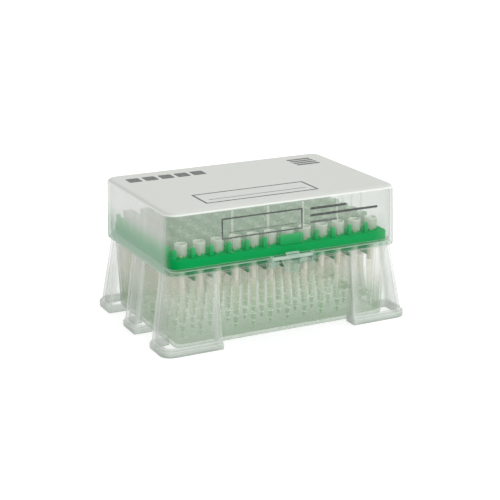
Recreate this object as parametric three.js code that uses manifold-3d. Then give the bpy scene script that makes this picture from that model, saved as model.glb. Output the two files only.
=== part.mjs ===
// A hinged box of filter pipette tips: a translucent base on six flared legs, a green rack deck
// that holds twelve columns and eight rows of tips, a hinged lid and a rocking front latch.
// Millimetres, +Z up, origin at the bottom centre, the latch on the -Y side.
import * as THREE from 'three';
import { mergeVertices } from 'three/addons/utils/BufferGeometryUtils.js';
import Module from 'manifold-3d';

const wasm = await Module();
wasm.setup();

// ---- driving dimensions -------------------------------------------------------------------
const columns = 12;
const rows = 8;
const looseRows = 4; // rows, counted from the front, whose tips are pieces of their own
const pitch = 9; // the standard grid of a 96-place rack

const tipBodyLength = 39.1; // below the collar
const tipCollarLength = 5.5;
const tipCollarRadius = 3;
const tipShoulderRadius = 2.35; // body just under the collar
const tipStepRadius = 1.35; // where the fine end begins
const tipStepHeight = 6.1; // length of the fine end
const tipEndRadius = 0.55;
const tipOrificeRadius = 0.25;
const tipMouthWall = 0.55;
const filterDepth = 13.1; // from the mouth down to the filter
const filterLength = 8;
const filterTopRadius = 1.65;
const filterBottomRadius = 1.4;
const tipSides = 6;

const seatGap = 0.3; // between pieces that rest on each other
const tipHoleClearance = 0.35;
const tipFuseDepth = 0.15; // how far the deck reaches into the wall of a fused tip
const tipFloorGap = 2.3; // tip ends to base floor

const floorLift = 1; // base floor above the bench
const floorThickness = 1.2;
const baseWall = 1.2;
const baseDraft = 1.2; // how far the base wall leans in, from the rim down to the floor
const baseCornerRadius = 4;
const rimHeight = 2.2;
const rimOverhangX = 1.25; // rim's face out from the base wall
const rimOverhangY = 0.95;
const frontLipDrop = 0.9; // the rim is deeper between the front legs

const legTopDrop = 0.1; // leg tops, below the underside of the rim
const legTopStandX = 1.5; // leg face out from the base wall, at the top
const legTopStandY = 1.4;
const legFootStandX = 6.6; // and at the foot
const legFootStandY = 4.7;
const legWall = 1.2;
const legCornerRadius = 4.5;
const legCavityDrop = 6; // solid stretch at the top of each leg
const cornerLegLengthX = 21.8;
const cornerLegLengthY = 11.5;
const middleLegWidth = 14.6;
const footHeight = 2.6;
const footSlope = 1.1; // height over which the foot's top slopes back to the leg
const footLedgeX = 1.2;
const footLedgeY = 1.5;

const deckHeight = 4.4; // height of the deck's outer band
const deckPlate = 1.4;
const bossHeight = 0.6; // ring round each hole, above the plate
const bossRadius = 3.4;
const deckBand = 1.8;
const deckMarginX = 6.5; // outermost tip centres to the band's face
const deckMarginY = 6;
const deckCornerRadius = 4;
const ribThickness = 1;
const ribDepth = 6.2; // below the band
const ribEndClearance = 0.35;
const postWidth = 2;
const postThickness = 2.2;
const postHeight = 4.1;
const postInset = 2.1; // from the band's long faces
const sidePostInset = 0.7; // and from its ends
const panelOverhang = 1.6; // beyond the posts on both sides of it
const panelThickness = 1.2;
const panelInset = 1.5;
const panelColumn = 7;

const lidWall = 1.2;
const lidClearanceX = 2.15; // around the deck's band
const lidClearanceY = 1.3;
const lidHeadroom = 15.2; // tip mouths to ceiling
const lidDraft = 0.5;
const lidCornerRadius = 5.5;
const lidSeatDepthX = 1.35; // ledge inside the lid that sits on the rim
const lidSeatDepthY = 0.8;
const skirtGapX = 0.85; // between the skirt and the rim, at the ends
const lidSeatHeight = 0.8;
const skirtRise = 0.4; // bottom of the lid's skirt, above the underside of the rim
const lidEdgeRadius = 3;
const lidRibWidth = 0.8;
const lidRibDepth = 0.6;
const lidRibTopDrop = 1.5;
const lidRibSpacing = 2 * pitch;

const hingeSpread = 30; // hinge centres, from the middle
const hingeOut = 2.4; // hinge axis behind the rim's face
const hingeDrop = 2.4; // and below the rim's top
const hingePinRadius = 1;
const hingeBoreClearance = 0.35;
const knuckleRadius = 1.95;
const knuckleWidth = 7;
const knuckleGap = 0.4; // beside the knuckle
const earThickness = 1.6;
const clipMouth = 1.6; // gap in the clip-on knuckle
const knuckleArmHeight = 4;
const skirtNotchMargin = 0.4; // skirt cut away on both sides of the ears

const latchX = 2; // the latch stands a little right of the middle
const latchOut = 1.2; // its axis in front of the lid's face
const latchAxisLift = 0.2; // its axis above the rim's top
const latchBarRadius = 0.7;
const latchBarLength = 19.6; // between the cheeks
const latchPlate = 1.2;
const latchRise = 2.4; // above the axis
const latchDrop = 7.2; // below the axis
const latchTopWidth = 6.4;
const latchBodyWidth = 10.4;
const latchEndWidth = 5.6;
const latchNoseHeight = 0.7;
const cheekThickness = 1.4;
const cheekReach = 1.1; // round the latch axis, in front and above
const cheekHeight = 5.2;
const socketClearance = 0.35;
const socketDepth = 1;
const latchWindowMargin = 0.6; // rim and skirt cut away on both sides of the cheeks

const cornerSteps = 4;
const pinSides = 16;
const flatness = 1e-4;

// ---- sizes that follow ---------------------------------------------------------------------
const floorTop = floorLift + floorThickness;
const tipEndZ = floorTop + tipFloorGap;
const collarZ = tipEndZ + tipBodyLength;
const tipTopZ = collarZ + tipCollarLength;
const deckTopZ = collarZ - seatGap;
const plateTopZ = deckTopZ - bossHeight;
const deckBottomZ = plateTopZ - deckHeight;
const baseTopZ = deckBottomZ - seatGap;
const rimBottomZ = baseTopZ - rimHeight;
const lidBottomZ = baseTopZ + seatGap;
const skirtBottomZ = rimBottomZ + skirtRise;
const lidTopZ = tipTopZ + lidHeadroom + lidWall;

const deckHalfX = (columns - 1) * pitch / 2 + deckMarginX;
const deckHalfY = (rows - 1) * pitch / 2 + deckMarginY;
const lidHalfX = deckHalfX + lidClearanceX + lidWall;
const lidHalfY = deckHalfY + lidClearanceY + lidWall;
const rimHalfX = lidHalfX - lidWall - skirtGapX; // the lid's skirt hangs round the rim
const rimHalfY = lidHalfY - lidWall - seatGap;
const wallHalfX = rimHalfX - rimOverhangX;
const wallHalfY = rimHalfY - rimOverhangY;
const legHalfX = wallHalfX + legFootStandX;
const legHalfY = wallHalfY + legFootStandY;
const legTopZ = rimBottomZ - legTopDrop;
const footTopZ = footHeight + footSlope;

const columnX = (column) => (column - (columns - 1) / 2) * pitch;
const rowY = (row) => (row - (rows - 1) / 2) * pitch;
const gapX = (index) => (index - columns / 2) * pitch;
const gapY = (index) => (index - rows / 2) * pitch;

const hingeY = rimHalfY + hingeOut;
const hingeZ = baseTopZ - hingeDrop;
const latchY = -lidHalfY - latchOut;
const latchZ = baseTopZ + latchAxisLift;
const latchWindowHalf = latchBarLength / 2 + cheekThickness + latchWindowMargin;

// ---- helpers -------------------------------------------------------------------------------
// A closed geometry as a solid that can be joined and cut.
function solid(geometry) {
  const bare = geometry.clone();
  bare.deleteAttribute('normal');
  bare.deleteAttribute('uv');
  const merged = mergeVertices(bare, 1e-5);
  return new wasm.Manifold(new wasm.Mesh({
    numProp: 3,
    vertProperties: new Float32Array(merged.attributes.position.array),
    triVerts: new Uint32Array(merged.index.array),
  }));
}

// A solid as a named mesh with its own material, with needless edges on its flat faces removed.
function piece(name, body, look) {
  const { vertProperties, triVerts } = body.asOriginal().simplify(flatness).getMesh();
  const geometry = new THREE.BufferGeometry();
  geometry.setAttribute('position', new THREE.BufferAttribute(vertProperties, 3));
  geometry.setIndex(new THREE.BufferAttribute(triVerts, 1));
  geometry.computeVertexNormals();
  const mesh = new THREE.Mesh(geometry, new THREE.MeshStandardMaterial(look));
  mesh.name = name;
  return mesh;
}

// A box between two corners.
function block(low, high) {
  const size = high.map((value, axis) => value - low[axis]);
  const box = new THREE.BoxGeometry(...size);
  return solid(box.translate(...low.map((value, axis) => value + size[axis] / 2)));
}

// A cylinder along X, centred on x.
function rod(radius, length, x, y, z) {
  const cylinder = new THREE.CylinderGeometry(radius, radius, length, pinSides);
  return solid(cylinder.rotateZ(Math.PI / 2).translate(x, y, z));
}

// A flat outline in Y and Z, as thick as width, centred on x.
function profileAcross(points, width, x) {
  const shape = new THREE.Shape(points.map(([y, z]) => new THREE.Vector2(y, z)));
  const slab = new THREE.ExtrudeGeometry(shape, { depth: width, bevelEnabled: false });
  const turned = slab.applyMatrix4(new THREE.Matrix4().set(
    0, 0, 1, x - width / 2,
    1, 0, 0, 0,
    0, 1, 0, 0,
    0, 0, 0, 1,
  ));
  return solid(turned);
}

// A rectangle with round corners, anticlockwise.
function outline({ halfX, halfY, radius }) {
  const points = [];
  for (let corner = 0; corner < 4; corner++) {
    const sideX = corner === 0 || corner === 3 ? 1 : -1;
    const sideY = corner < 2 ? 1 : -1;
    for (let step = 0; step <= cornerSteps; step++) {
      const angle = (corner + step / cornerSteps) * Math.PI / 2;
      const x = sideX * (halfX - radius) + radius * Math.cos(angle);
      const y = sideY * (halfY - radius) + radius * Math.sin(angle);
      points.push(new THREE.Vector2(x, y));
    }
  }
  return points;
}

// A solid through rounded rectangles at rising heights.
function loft(levels) {
  const rings = levels.map(outline);
  const count = rings[0].length;
  const positions = [];
  const index = [];
  rings.forEach((ring, level) => {
    for (const point of ring) positions.push(point.x, point.y, levels[level].z);
  });
  for (let level = 0; level + 1 < rings.length; level++) {
    for (let i = 0; i < count; i++) {
      const a = level * count + i;
      const b = level * count + (i + 1) % count;
      index.push(a, b, b + count, a, b + count, a + count);
    }
  }
  const top = (rings.length - 1) * count;
  for (let i = 1; i + 1 < count; i++) {
    index.push(0, i + 1, i, top, top + i, top + i + 1);
  }
  const geometry = new THREE.BufferGeometry();
  geometry.setAttribute('position', new THREE.Float32BufferAttribute(positions, 3));
  geometry.setIndex(index);
  return solid(geometry);
}

// The same level, taken in by an inset on all sides.
function inset(level, amount) {
  return {
    z: level.z,
    halfX: level.halfX - amount,
    halfY: level.halfY - amount,
    radius: Math.max(level.radius - amount, 0.5),
  };
}

// ---- tips ----------------------------------------------------------------------------------
// One tip at the origin of its column and row: a collar over a long taper, hollow from the mouth
// down to the filter and again from the filter down to the orifice.
function tipGeometry() {
  const filterTopZ = tipTopZ - filterDepth;
  const filterBottomZ = filterTopZ - filterLength;
  const profile = [
    [0, filterBottomZ],
    [filterBottomRadius, filterBottomZ],
    [tipOrificeRadius, tipEndZ],
    [tipEndRadius, tipEndZ],
    [tipStepRadius, tipEndZ + tipStepHeight],
    [tipShoulderRadius, collarZ],
    [tipCollarRadius, collarZ],
    [tipCollarRadius, tipTopZ],
    [tipCollarRadius - tipMouthWall, tipTopZ],
    [filterTopRadius, filterTopZ],
    [0, filterTopZ],
  ];
  const points = profile.map(([radius, z]) => new THREE.Vector2(radius, z));
  const lathe = new THREE.LatheGeometry(points, tipSides);
  return lathe.rotateX(Math.PI / 2);
}

function tip(column, row) {
  return solid(tipGeometry().translate(columnX(column), rowY(row), 0));
}

// ---- base ----------------------------------------------------------------------------------
const wallTop = { z: rimBottomZ, halfX: wallHalfX, halfY: wallHalfY, radius: baseCornerRadius };
const rimLow = {
  z: rimBottomZ,
  halfX: rimHalfX,
  halfY: rimHalfY,
  radius: lidCornerRadius - lidWall,
};
const wallFoot = {
  z: floorLift,
  halfX: wallHalfX - baseDraft,
  halfY: wallHalfY - baseDraft,
  radius: baseCornerRadius,
};

// The outward face of the legs all round, before it is cut into six, at a height.
function legLevel(z) {
  const share = (legTopZ - z) / (legTopZ - footTopZ);
  return {
    z,
    halfX: wallHalfX + THREE.MathUtils.lerp(legTopStandX, legFootStandX, share),
    halfY: wallHalfY + THREE.MathUtils.lerp(legTopStandY, legFootStandY, share),
    radius: legCornerRadius,
  };
}

// Where the six legs stand in plan, with their sides taken in by an inset.
function legBlocks(sideInset, lowZ, highZ) {
  const farX = legHalfX + footLedgeX + pitch;
  const farY = legHalfY + footLedgeY + pitch;
  const startX = wallHalfX - cornerLegLengthX + sideInset;
  const startY = wallHalfY - cornerLegLengthY + sideInset;
  const halfMiddle = middleLegWidth / 2 - sideInset;
  const blocks = [];
  for (const sideX of [-1, 1]) {
    for (const sideY of [-1, 1]) {
      const low = [Math.min(sideX * startX, sideX * farX), Math.min(sideY * startY, sideY * farY)];
      const high = [Math.max(sideX * startX, sideX * farX), Math.max(sideY * startY, sideY * farY)];
      blocks.push(block([...low, lowZ], [...high, highZ]));
    }
    const nearX = wallHalfX - baseDraft - baseWall;
    const low = [Math.min(sideX * nearX, sideX * farX), -halfMiddle, lowZ];
    const high = [Math.max(sideX * nearX, sideX * farX), halfMiddle, highZ];
    blocks.push(block(low, high));
  }
  return blocks.reduce((all, next) => all.add(next));
}

// Six flared legs with a ledge round each foot, hollow and open underneath.
function legs() {
  const foot = {
    halfX: legHalfX + footLedgeX,
    halfY: legHalfY + footLedgeY,
    radius: legCornerRadius + footLedgeX,
  };
  const outside = loft([
    { z: 0, ...foot },
    { z: footHeight, ...foot },
    legLevel(footTopZ),
    legLevel(legTopZ),
  ]);
  const cavityTopZ = legTopZ - legCavityDrop;
  const inside = loft([
    inset({ ...legLevel(footTopZ), z: -1 }, legWall),
    inset(legLevel(footTopZ), legWall),
    inset(legLevel(cavityTopZ), legWall),
  ]);
  const cavity = inside.intersect(legBlocks(legWall, -2, cavityTopZ + 1)).subtract(tub());
  const underFloor = loft([{ ...wallFoot, z: -1 }, wallFoot]);
  return outside.intersect(legBlocks(0, -1, legTopZ + 1)).subtract(cavity).subtract(underFloor);
}

// The base's walls and floor as one block, before the hollow is cut.
function tub() {
  return loft([wallFoot, wallTop]);
}

// Two ears with a pin between them, at each hinge.
function baseHinge(x) {
  const earInner = knuckleWidth / 2 + knuckleGap;
  const span = 2 * (earInner + earThickness);
  let ears = rod(hingePinRadius, span - earThickness, x, hingeY, hingeZ);
  for (const side of [-1, 1]) {
    const earX = x + side * (earInner + earThickness / 2);
    const web = block(
      [earX - earThickness / 2, rimHalfY - baseWall, rimBottomZ],
      [earX + earThickness / 2, hingeY, baseTopZ],
    );
    ears = ears.add(rod(knuckleRadius, earThickness, earX, hingeY, hingeZ));
    ears = ears.add(web);
  }
  return ears;
}

// Two cheeks with blind sockets, which carry the latch's bar.
function latchCheeks() {
  const inner = latchBarLength / 2;
  const outer = inner + cheekThickness;
  const lowZ = baseTopZ - cheekHeight + cheekReach + latchAxisLift;
  let cheeks = null;
  for (const side of [-1, 1]) {
    const low = latchX + Math.min(side * inner, side * outer);
    const high = latchX + Math.max(side * inner, side * outer);
    const frontY = latchY - latchBarRadius - socketClearance - cheekReach / 2;
    const root = block([low, frontY, lowZ], [high, -wallHalfY + baseWall / 2, baseTopZ]);
    const crown = block(
      [low, frontY, baseTopZ - 1],
      [high, -lidHalfY - socketClearance, latchZ + latchBarRadius + socketClearance + cheekReach / 2],
    );
    const socket = rod(
      latchBarRadius + socketClearance,
      2 * socketDepth,
      latchX + side * inner,
      latchY,
      latchZ,
    );
    const cheek = root.add(crown).subtract(socket);
    cheeks = cheeks ? cheeks.add(cheek) : cheek;
  }
  return cheeks;
}

function base() {
  const rim = loft([rimLow, { ...rimLow, z: baseTopZ }]);
  const lipHalf = wallHalfX - cornerLegLengthX;
  const lip = block(
    [-lipHalf, -rimHalfY, rimBottomZ - frontLipDrop],
    [lipHalf, -wallHalfY + baseWall / 2, rimBottomZ + frontLipDrop],
  );
  const window = block(
    [latchX - latchWindowHalf, -rimHalfY - 1, rimBottomZ - frontLipDrop - 1],
    [latchX + latchWindowHalf, -wallHalfY, baseTopZ + 1],
  );
  const hollow = loft([
    inset({ ...wallFoot, z: floorTop }, baseWall),
    inset(wallTop, baseWall),
    inset({ ...wallTop, z: baseTopZ + 1 }, baseWall),
  ]);
  let body = tub().add(rim).add(lip).subtract(window);
  body = body.add(legs()).add(latchCheeks());
  for (const side of [-1, 1]) body = body.add(baseHinge(side * hingeSpread));
  return body.subtract(hollow);
}

// ---- rack deck -----------------------------------------------------------------------------
// The outline of a six-sided hole or boss at a place of the grid, anticlockwise.
function hexagon(column, row, radius) {
  const points = [];
  for (let side = 0; side < tipSides; side++) {
    const angle = 2 * Math.PI * side / tipSides;
    const x = columnX(column) + radius * Math.sin(angle);
    const y = rowY(row) - radius * Math.cos(angle);
    points.push(new THREE.Vector2(x, y));
  }
  return points;
}

// The plate with its grid of holes, and a low boss round each hole. A hole in a fused row is
// smaller than the tip it carries.
function deckPlateSolid() {
  const size = { halfX: deckHalfX, halfY: deckHalfY, radius: deckCornerRadius };
  const shape = new THREE.Shape(outline(size));
  const bosses = [];
  for (let row = 0; row < rows; row++) {
    const loose = row < looseRows;
    const radius = tipShoulderRadius + (loose ? tipHoleClearance : -tipFuseDepth);
    for (let column = 0; column < columns; column++) {
      const hole = new THREE.Path(hexagon(column, row, radius));
      const boss = new THREE.Shape(hexagon(column, row, bossRadius));
      shape.holes.push(hole);
      boss.holes.push(hole);
      bosses.push(boss);
    }
  }
  const plate = new THREE.ExtrudeGeometry(shape, { depth: deckPlate, bevelEnabled: false });
  const depth = deckPlate / 2 + bossHeight;
  const rings = new THREE.ExtrudeGeometry(bosses, { depth, bevelEnabled: false });
  const flat = solid(plate.translate(0, 0, plateTopZ - deckPlate));
  return flat.add(solid(rings.translate(0, 0, deckTopZ - depth)));
}

function rackDeck() {
  const face = { z: deckBottomZ, halfX: deckHalfX, halfY: deckHalfY, radius: deckCornerRadius };
  const under = plateTopZ - deckPlate / 2;
  const band = loft([face, { ...face, z: under }]);
  const opening = loft([
    inset({ ...face, z: deckBottomZ - 1 }, deckBand),
    inset({ ...face, z: under + 1 }, deckBand),
  ]);
  let body = deckPlateSolid().add(band.subtract(opening));

  const ribEnd = wallHalfY - baseDraft * ribDepth / rimBottomZ - baseWall - ribEndClearance;
  for (let index = 1; index < columns; index++) {
    const x = gapX(index);
    body = body.add(block(
      [x - ribThickness / 2, -ribEnd, deckBottomZ - ribDepth],
      [x + ribThickness / 2, ribEnd, under],
    ));
  }

  const postY = deckHalfY - postInset - postThickness / 2;
  const postX = deckHalfX - sidePostInset - postWidth / 2;
  const postTopZ = deckTopZ + postHeight;
  const posts = [];
  for (const side of [-1, 1]) {
    for (let index = 0; index < columns; index++) posts.push([gapX(index), side * postY]);
    for (let index = 1; index < rows; index++) posts.push([side * postX, gapY(index)]);
  }
  for (const [x, y] of posts) {
    body = body.add(block(
      [x - postWidth / 2, y - postThickness / 2, under],
      [x + postWidth / 2, y + postThickness / 2, postTopZ],
    ));
  }

  const panelY = -deckHalfY + panelInset;
  body = body.add(block(
    [gapX(panelColumn - 1) - panelOverhang, panelY, under],
    [gapX(panelColumn) + panelOverhang, panelY + panelThickness, postTopZ],
  ));

  for (let row = looseRows; row < rows; row++) {
    for (let column = 0; column < columns; column++) body = body.add(tip(column, row));
  }
  return body;
}

// ---- lid -----------------------------------------------------------------------------------
const lidLow = { z: lidBottomZ, halfX: lidHalfX, halfY: lidHalfY, radius: lidCornerRadius };

// Levels of the lid's outer face: a straight skirt, a drafted wall and a round top edge.
function lidLevels() {
  const edgeZ = lidTopZ - lidEdgeRadius;
  const levels = [{ ...lidLow, z: skirtBottomZ }, lidLow];
  for (let step = 0; step <= cornerSteps; step++) {
    const angle = step / cornerSteps * Math.PI / 2;
    const taken = lidDraft + lidEdgeRadius * (1 - Math.cos(angle));
    levels.push({
      z: edgeZ + lidEdgeRadius * Math.sin(angle),
      halfX: lidHalfX - taken,
      halfY: lidHalfY - taken,
      radius: lidCornerRadius - (taken - lidDraft),
    });
  }
  return levels;
}

// The lid's hollow: its face taken in by the wall, and its ceiling down by the same.
function lidHollow() {
  const edgeZ = lidTopZ - lidEdgeRadius;
  const innerRadius = lidEdgeRadius - lidWall;
  const levels = [inset({ ...lidLow, z: skirtBottomZ - 1 }, lidWall), inset(lidLow, lidWall)];
  for (let step = 0; step <= 2; step++) {
    const angle = step / 2 * Math.PI / 2;
    const taken = lidDraft + innerRadius * (1 - Math.cos(angle));
    levels.push(inset({
      z: edgeZ + innerRadius * Math.sin(angle),
      halfX: lidHalfX - taken,
      halfY: lidHalfY - taken,
      radius: lidCornerRadius - (taken - lidDraft),
    }, lidWall));
  }
  return loft(levels);
}

// The ledge inside the lid that sits on the rim.
function lidSeat() {
  const face = inset(lidLow, lidWall / 2);
  const edge = {
    halfX: lidHalfX - lidWall - lidSeatDepthX,
    halfY: lidHalfY - lidWall - lidSeatDepthY,
    radius: lidCornerRadius - lidWall - lidSeatDepthY,
  };
  const ledge = loft([face, { ...face, z: lidBottomZ + lidSeatHeight }]);
  const opening = loft([
    { ...edge, z: lidBottomZ - 1 },
    { ...edge, z: lidBottomZ + lidSeatHeight + 1 },
  ]);
  return ledge.subtract(opening);
}

// The gaps in the skirt, in front for the latch's cheeks and behind for the hinges' ears.
function skirtNotches() {
  const earReach = knuckleWidth / 2 + knuckleGap + earThickness + skirtNotchMargin;
  const notches = [block(
    [latchX - latchWindowHalf, -lidHalfY - 1, skirtBottomZ - 1],
    [latchX + latchWindowHalf, 0, lidBottomZ],
  )];
  for (const side of [-1, 1]) {
    const x = side * hingeSpread;
    const low = [x - earReach, 0, skirtBottomZ - 1];
    notches.push(block(low, [x + earReach, lidHalfY + 1, lidBottomZ]));
  }
  return notches;
}

// Upright stiffening ribs inside the lid's walls.
function lidRibs() {
  const highZ = lidTopZ - lidWall - lidRibTopDrop;
  const lowZ = tipTopZ;
  const halfWidth = lidRibWidth / 2;
  const innerX = lidHalfX - lidWall - lidDraft - lidRibDepth;
  const innerY = lidHalfY - lidWall - lidDraft - lidRibDepth;
  const outerX = lidHalfX - lidWall;
  const outerY = lidHalfY - lidWall;
  const ribs = [];
  for (const side of [-1, 1]) {
    for (const place of [-1.5, -0.5, 0.5, 1.5]) {
      const x = place * lidRibSpacing;
      const ends = [side * innerY, side * outerY].sort((a, b) => a - b);
      ribs.push(block([x - halfWidth, ends[0], lowZ], [x + halfWidth, ends[1], highZ]));
    }
    for (const place of [-0.5, 0.5]) {
      const y = place * lidRibSpacing;
      const ends = [side * innerX, side * outerX].sort((a, b) => a - b);
      ribs.push(block([ends[0], y - halfWidth, lowZ], [ends[1], y + halfWidth, highZ]));
    }
  }
  return ribs;
}

// A clip-on knuckle on an arm from the lid's back wall, round the base's hinge pin.
function lidKnuckle(x) {
  const armZ = lidBottomZ + seatGap;
  const armRootY = lidHalfY - lidWall / 2;
  const arm = profileAcross([
    [armRootY, armZ],
    [hingeY - knuckleRadius / 2, armZ],
    [hingeY - knuckleRadius * 0.8, hingeZ + knuckleRadius / 2],
    [hingeY, hingeZ],
    [hingeY + knuckleRadius * 0.95, hingeZ],
    [hingeY + knuckleRadius / 4, armZ + knuckleArmHeight / 2],
    [armRootY, armZ + knuckleArmHeight],
  ], knuckleWidth, x);
  const barrel = rod(knuckleRadius, knuckleWidth, x, hingeY, hingeZ);
  const bore = rod(hingePinRadius + hingeBoreClearance, knuckleWidth + 2, x, hingeY, hingeZ);
  const mouth = block(
    [x - knuckleWidth, hingeY - clipMouth / 2, hingeZ - 2 * knuckleRadius],
    [x + knuckleWidth, hingeY + clipMouth / 2, hingeZ],
  );
  return arm.add(barrel).subtract(bore).subtract(mouth);
}

function lid() {
  let body = loft(lidLevels()).subtract(lidHollow()).add(lidSeat());
  for (const notch of skirtNotches()) body = body.subtract(notch);
  for (const rib of lidRibs()) body = body.add(rib);
  for (const side of [-1, 1]) body = body.add(lidKnuckle(side * hingeSpread));
  return body;
}

// ---- latch ---------------------------------------------------------------------------------
// A plate on a cross bar: a hook tab above the bar, a thumb tab that narrows below it.
function latch() {
  const backY = latchY + latchPlate / 2;
  const lowZ = latchZ - latchDrop;
  const highZ = latchZ + latchRise;
  const halves = [
    [latchEndWidth / 2, lowZ],
    [latchBodyWidth / 2, latchZ - 2 * latchBarRadius],
    [latchBodyWidth / 2, latchZ],
    [latchTopWidth / 2, latchZ + latchBarRadius],
    [latchTopWidth / 2, highZ],
  ];
  const right = halves.map(([half, z]) => new THREE.Vector2(latchX + half, z));
  const left = halves.map(([half, z]) => new THREE.Vector2(latchX - half, z)).reverse();
  const face = new THREE.Shape([...right, ...left]);
  const slab = new THREE.ExtrudeGeometry(face, { depth: latchPlate, bevelEnabled: false });
  const plate = solid(slab.rotateX(Math.PI / 2).translate(0, backY, 0));
  const barLength = latchBarLength + 2 * (socketDepth - seatGap);
  const nose = block(
    [latchX - latchTopWidth / 2, backY - latchPlate / 2, highZ - latchNoseHeight],
    [latchX + latchTopWidth / 2, -lidHalfY - seatGap, highZ],
  );
  return plate.add(rod(latchBarRadius, barLength, latchX, latchY, latchZ)).add(nose);
}

// ---- the whole box -------------------------------------------------------------------------
const box = new THREE.Group();
const clearPlastic = { color: 0xd9ddd6, roughness: 0.4, metalness: 0, transparent: true, opacity: 0.55 };
const tipPlastic = { color: 0xe4ebe2, roughness: 0.3, metalness: 0, transparent: true, opacity: 0.7 };
box.add(piece('base', base(), clearPlastic));
box.add(piece('lid', lid(), clearPlastic));
box.add(piece('latch', latch(), clearPlastic));
box.add(piece('rack_deck', rackDeck(), { color: 0x069a48, roughness: 0.45, metalness: 0 }));
for (let row = 0; row < looseRows; row++) {
  for (let column = 0; column < columns; column++) {
    const name = `tip_${'abcdefgh'[row]}${String(column + 1).padStart(2, '0')}`;
    box.add(piece(name, tip(column, row), tipPlastic));
  }
}

export default box;
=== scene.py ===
"""A hinged box of filter pipette tips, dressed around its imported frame.

Sizes inside the functions are millimetres in the part's frame; meshes are written in metres.
Each shell is a profile carried along a plan outline, or a surface of two parameters.
"""

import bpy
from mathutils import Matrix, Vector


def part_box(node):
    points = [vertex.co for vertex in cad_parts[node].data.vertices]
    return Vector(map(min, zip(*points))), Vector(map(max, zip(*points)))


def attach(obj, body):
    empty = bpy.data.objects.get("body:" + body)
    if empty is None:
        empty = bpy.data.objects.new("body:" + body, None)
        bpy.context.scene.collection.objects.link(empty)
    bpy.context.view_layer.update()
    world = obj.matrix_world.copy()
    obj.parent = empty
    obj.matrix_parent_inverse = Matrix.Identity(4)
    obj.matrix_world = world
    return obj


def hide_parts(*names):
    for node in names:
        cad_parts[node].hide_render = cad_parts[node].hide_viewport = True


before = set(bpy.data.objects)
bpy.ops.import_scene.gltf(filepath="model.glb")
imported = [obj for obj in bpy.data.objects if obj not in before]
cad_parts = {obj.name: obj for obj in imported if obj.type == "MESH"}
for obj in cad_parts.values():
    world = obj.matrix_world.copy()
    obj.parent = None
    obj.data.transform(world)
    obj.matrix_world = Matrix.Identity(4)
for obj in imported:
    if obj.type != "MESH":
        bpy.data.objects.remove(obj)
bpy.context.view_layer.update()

import math
from functools import cached_property

import bmesh
import bpy
import numpy as np
from mathutils import Matrix, Vector

scene = bpy.context.scene
MM = 0.001
TURN = 2 * math.pi
QUARTER = math.pi / 2


# ---- sizes read from the frame, and what follows from them ----
def cad(node):
    """Lowest and highest corner of a CAD node, in millimetres."""
    low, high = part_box(node)
    return np.array(low) / MM, np.array(high) / MM


lid_low, lid_high = cad("lid")
_, deck_high = cad("rack_deck")
latch_low, latch_high = cad("latch")
tip_low, tip_high = cad("tip_a01")

PITCH = 9.0
COLUMNS, ROWS = 12, 8
LOOSE_ROWS = "abcd"
FUSED_ROWS = "efgh"

LID_X, LID_Y, LID_TOP = float(lid_high[0]), float(-lid_low[1]), float(lid_high[2])
DECK_X, DECK_Y = float(deck_high[0]), float(deck_high[1])
TIP_END, TIP_TOP = float(tip_low[2]), float(tip_high[2])

SEAT_GAP = 0.3
COLLAR = 5.5  # length of a tip's collar
COLLAR_Z = TIP_TOP - COLLAR
BOSS_TOP = COLLAR_Z - SEAT_GAP
PLATE_TOP = BOSS_TOP - 0.6
PLATE_UNDER = PLATE_TOP - 1.4
BAND_LOW = PLATE_TOP - 4.4
BASE_TOP = BAND_LOW - SEAT_GAP
LID_LOW = BASE_TOP + SEAT_GAP
RIM_LOW = BASE_TOP - 2.2
FLOOR_LOW, FLOOR_TOP = 1.0, 2.2
WALL = 1.2
SKIRT_LOW = RIM_LOW + 0.4  # the lid's skirt hangs round the rim
SKIRT_GAP_X = 0.85  # between the skirt and the rim at the ends
RIM_X, RIM_Y = LID_X - WALL - SKIRT_GAP_X, LID_Y - WALL - SEAT_GAP
OVERHANG = (1.25, 0.95)  # the rim stands out from the base wall
DRAFT = 1.2  # the base wall leans in by this, from rim to floor
WALL_X, WALL_Y = RIM_X - OVERHANG[0], RIM_Y - OVERHANG[1]

LATCH_X = float(latch_low[0] + latch_high[0]) / 2
LATCH_Y = -LID_Y - 1.2
LATCH_Z = BASE_TOP + 0.2
LATCH_BAR = 0.7  # radius of the latch's cross bar
WINDOW = 11.8  # half width of the gap in the rim and the skirt for the latch
HINGE_X = 30.0
HINGE = (RIM_Y + 2.4, BASE_TOP - 2.4)  # y and z of the hinges' axis
KNUCKLE = 1.95  # radius of the hinges' ears and knuckles
PIN, PIN_BORE = 1.0, 1.35
EAR_NEAR, EAR_FAR = 3.9, 5.5  # an ear's faces, from the middle of its hinge
EAR_NOTCH = 5.9  # half width of the gaps in the skirt for the ears


def column_x(column):
    """Middle of a column of tips."""
    return (column - (COLUMNS - 1) / 2) * PITCH


def row_y(row):
    """Middle of a row of tips, from the front."""
    return (row - (ROWS - 1) / 2) * PITCH


def linked(name, data):
    """A new object in the scene, with that mesh, lamp or camera."""
    obj = bpy.data.objects.new(name, data)
    scene.collection.objects.link(obj)
    return obj


# ---- camera ----
yaw, pitch, roll = (math.radians(a) for a in (26.23, 16.83, -0.34))
place = Matrix.Translation(Vector((-271.78, -552.72, 217.00)) * MM)
camera_data = bpy.data.cameras.new("camera")
camera_data.sensor_width = 36
camera_data.lens = 95.14
camera_data.clip_end = 20
camera = linked("camera", camera_data)
camera.matrix_world = (
    place @ Matrix.Rotation(-yaw, 4, "Z") @ Matrix.Rotation(QUARTER - pitch, 4, "X")
    @ Matrix.Rotation(roll, 4, "Z")
)
scene.camera = camera


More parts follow.
